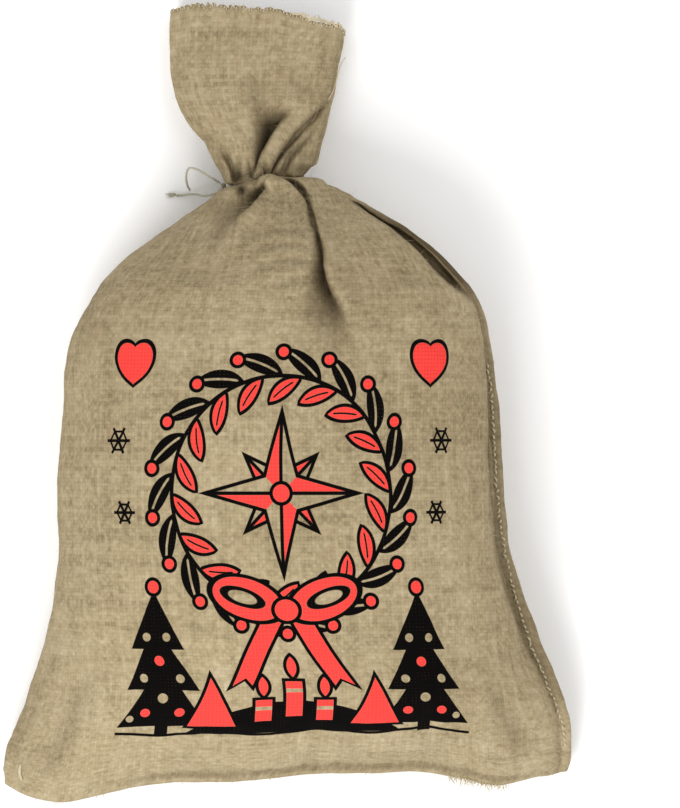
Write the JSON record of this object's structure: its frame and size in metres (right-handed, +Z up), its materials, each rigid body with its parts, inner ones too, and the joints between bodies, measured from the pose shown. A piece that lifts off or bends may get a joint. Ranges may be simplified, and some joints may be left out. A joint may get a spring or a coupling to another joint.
{
  "type": "burlap sack",
  "caption": "Filled jute burlap sack lying on its back, sewn down one side and across the bottom, gathered and tied at the neck with twine, its mouth fanned open above the tie",
  "frame": {"origin": "middle of the whole outline in X and Y, on the surface that the sack lies on", "axes": "+Y runs from the bottom seam to the mouth, +X across the sack towards its sewn side, +Z up out of the printed front"},
  "size_m": [0.3792, 0.5314, 0.1707],
  "materials": {
    "burlap": "plain-woven natural jute with a two-colour print on its front",
    "twine": "twisted jute twine"
  },
  "bodies": {
    "root": {"sack": "burlap", "tie_wrap": "twine", "tie_knot": "twine", "tie_loop": "twine", "tie_end": "twine", "tie_end_knot": "twine"}
  },
  "joints": []
}
